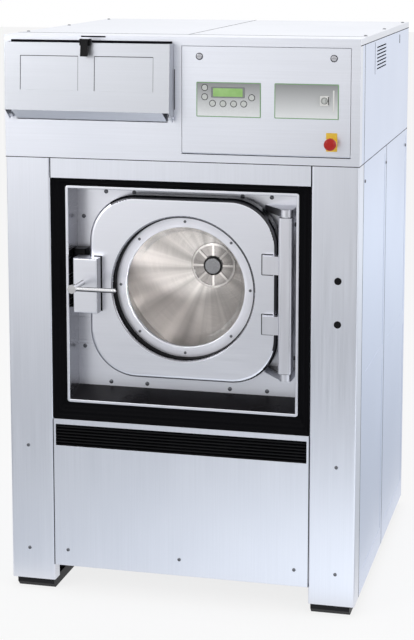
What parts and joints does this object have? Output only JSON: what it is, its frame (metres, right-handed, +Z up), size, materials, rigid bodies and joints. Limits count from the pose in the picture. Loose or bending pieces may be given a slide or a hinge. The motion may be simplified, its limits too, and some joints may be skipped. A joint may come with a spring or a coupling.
{
  "type": "washer-extractor",
  "caption": "Soft-mounted front-loading washer-extractor: stainless cabinet, swinging porthole door, sprung tub and drum, detergent hopper and drop-down control door.",
  "frame": {"origin": "on the floor under the middle of the machine", "axes": "+Z up, -Y towards the front where the door is, +X to the right seen from the front"},
  "size_m": [1.005, 1.19, 1.6025],
  "materials": {
    "stainless_panel": "fine brushed stainless sheet",
    "polished_steel": "satin polished stainless",
    "drum_steel": "spun stainless",
    "bright_chrome": "bright plated",
    "screw_steel": "plain steel",
    "galvanised": "zinc coated sheet",
    "black_paint": "satin black paint",
    "grey_paint": "satin grey paint",
    "cast_grey": "machined casting",
    "motor_paint": "blue grey paint",
    "spring_steel": "black spring steel",
    "black_rubber": "matte rubber",
    "black_plastic": "moulded",
    "grey_plastic": "printed film and white mouldings",
    "key_plastic": "moulded keys",
    "white_plastic": "moulded",
    "yellow_plastic": "moulded",
    "red_plastic": "moulded",
    "brass_fitting": "machined brass",
    "clear_glass": "toughened glass"
  },
  "bodies": {
    "cabinet": {"skid_rails": "black_paint", "base_frame": "grey_paint", "column_covers": "stainless_panel", "front_panels": "stainless_panel", "intake_grille": "black_plastic", "tub_gasket": "black_rubber", "side_panels": "stainless_panel", "rear_panels": "galvanised", "upper_front_frame": "stainless_panel", "top_covers": "stainless_panel", "cabinet_screws": "screw_steel", "column_plugs": "black_plastic", "dispenser_hopper": "polished_steel", "rear_connections": "brass_fitting", "inverter_box": "grey_paint", "damper_cylinders": "black_paint", "suspension_springs": "spring_steel"},
    "tub": {"tub_shell": "polished_steel", "tub_front_plate": "polished_steel", "front_frame": "polished_steel", "plate_screws": "screw_steel", "hinge_brackets": "polished_steel", "lock_housing": "black_plastic", "bearing_housing": "cast_grey", "bearings": "bright_chrome", "motor_housing": "motor_paint", "drive_belt": "black_rubber", "damper_rods": "bright_chrome", "drain_valve": "black_plastic", "tub_hoses": "black_rubber"},
    "drum": {"drum_shell": "drum_steel", "drum_back": "drum_steel", "drum_lifters": "drum_steel", "drum_shaft": "screw_steel", "drum_pulley": "cast_grey"},
    "motor_rotor": {"motor_rotor": "cast_grey"},
    "door": {"door_shell": "polished_steel", "glass_ring": "polished_steel", "door_glass": "clear_glass", "door_seal": "black_rubber", "hinge_bar": "polished_steel", "latch_block": "polished_steel", "ring_screws": "screw_steel"},
    "latch_handle": {"latch_handle": "bright_chrome"},
    "lid": {"dispenser_lid": "stainless_panel"},
    "lid_handle": {"lid_handle": "black_plastic"},
    "control_door": {"control_door": "stainless_panel", "control_overlays": "grey_plastic", "estop_plate": "yellow_plastic"},
    "estop_button": {"estop_button": "red_plastic"},
    "key_switch": {"key_switch": "white_plastic"},
    "panel_lock_left": {"panel_lock_left": "bright_chrome"},
    "panel_lock_right": {"panel_lock_right": "bright_chrome"},
    "key_1": {"key_1": "key_plastic"},
    "key_2": {"key_2": "key_plastic"},
    "key_3": {"key_3": "key_plastic"},
    "key_4": {"key_4": "key_plastic"},
    "key_5": {"key_5": "key_plastic"},
    "key_6": {"key_6": "key_plastic"},
    "key_7": {"key_7": "key_plastic"}
  },
  "joints": [
    {"name": "tub_bounce", "type": "slide", "parent": "cabinet", "child": "tub", "axis": [0, 0, 1], "range_m": [-0.015, 0.015], "stiffness_N_per_m": 90000, "springref_m": 0.04123, "deforming": ["suspension_springs", "tub_gasket", "tub_hoses"]},
    {"name": "drum_spin", "type": "hinge", "parent": "tub", "child": "drum", "pos_m": [0, 0, 0.894], "axis": [0, 1, 0], "continuous": true},
    {"name": "motor_spin", "type": "hinge", "parent": "tub", "child": "motor_rotor", "pos_m": [0.18, 0, 0.3315], "axis": [0, 1, 0], "continuous": true},
    {"name": "door_swing", "type": "hinge", "parent": "tub", "child": "door", "pos_m": [0.2965, -0.468, 0.894], "axis": [0, 0, 1], "range_deg": [0, 120]},
    {"name": "latch_turn", "type": "hinge", "parent": "door", "child": "latch_handle", "pos_m": [-0.279, 0, 0.908], "axis": [0, 1, 0], "range_deg": [0, 90]},
    {"name": "lid_tilt", "type": "hinge", "parent": "cabinet", "child": "lid", "pos_m": [0, -0.515, 1.38], "axis": [1, 0, 0], "range_deg": [0, 60]},
    {"name": "lid_handle_lift", "type": "hinge", "parent": "lid", "child": "lid_handle", "pos_m": [-0.247, -0.5525, 1.585], "axis": [-1, 0, 0], "range_deg": [0, 50]},
    {"name": "control_door_drop", "type": "hinge", "parent": "cabinet", "child": "control_door", "pos_m": [0, -0.496, 1.286], "axis": [1, 0, 0], "range_deg": [0, 90]},
    {"name": "estop_press", "type": "slide", "parent": "control_door", "child": "estop_button", "axis": [0, 1, 0], "range_m": [0, 0.006]},
    {"name": "key_switch_turn", "type": "hinge", "parent": "control_door", "child": "key_switch", "pos_m": [0.4045, 0, 1.435], "axis": [0, 1, 0], "range_deg": [0, 90]},
    {"name": "panel_lock_left_turn", "type": "hinge", "parent": "control_door", "child": "panel_lock_left", "pos_m": [0.06, 0, 1.548], "axis": [0, 1, 0], "range_deg": [0, 90]},
    {"name": "panel_lock_right_turn", "type": "hinge", "parent": "control_door", "child": "panel_lock_right", "pos_m": [0.4285, 0, 1.548], "axis": [0, 1, 0], "range_deg": [0, 90]},
    {"name": "key_1_press", "type": "slide", "parent": "control_door", "child": "key_1", "axis": [0, 1, 0], "range_m": [0, 0.001], "stiffness_N_per_m": 800, "springref_m": -0.001},
    {"name": "key_2_press", "type": "slide", "parent": "control_door", "child": "key_2", "axis": [0, 1, 0], "range_m": [0, 0.001], "stiffness_N_per_m": 800, "springref_m": -0.001},
    {"name": "key_3_press", "type": "slide", "parent": "control_door", "child": "key_3", "axis": [0, 1, 0], "range_m": [0, 0.001], "stiffness_N_per_m": 800, "springref_m": -0.001},
    {"name": "key_4_press", "type": "slide", "parent": "control_door", "child": "key_4", "axis": [0, 1, 0], "range_m": [0, 0.001], "stiffness_N_per_m": 800, "springref_m": -0.001},
    {"name": "key_5_press", "type": "slide", "parent": "control_door", "child": "key_5", "axis": [0, 1, 0], "range_m": [0, 0.001], "stiffness_N_per_m": 800, "springref_m": -0.001},
    {"name": "key_6_press", "type": "slide", "parent": "control_door", "child": "key_6", "axis": [0, 1, 0], "range_m": [0, 0.001], "stiffness_N_per_m": 800, "springref_m": -0.001},
    {"name": "key_7_press", "type": "slide", "parent": "control_door", "child": "key_7", "axis": [0, 1, 0], "range_m": [0, 0.001], "stiffness_N_per_m": 800, "springref_m": -0.001}
  ],
  "couplings": [
    {"joint": "motor_spin", "follows": "drum_spin", "ratio": 4.4444}
  ]
}
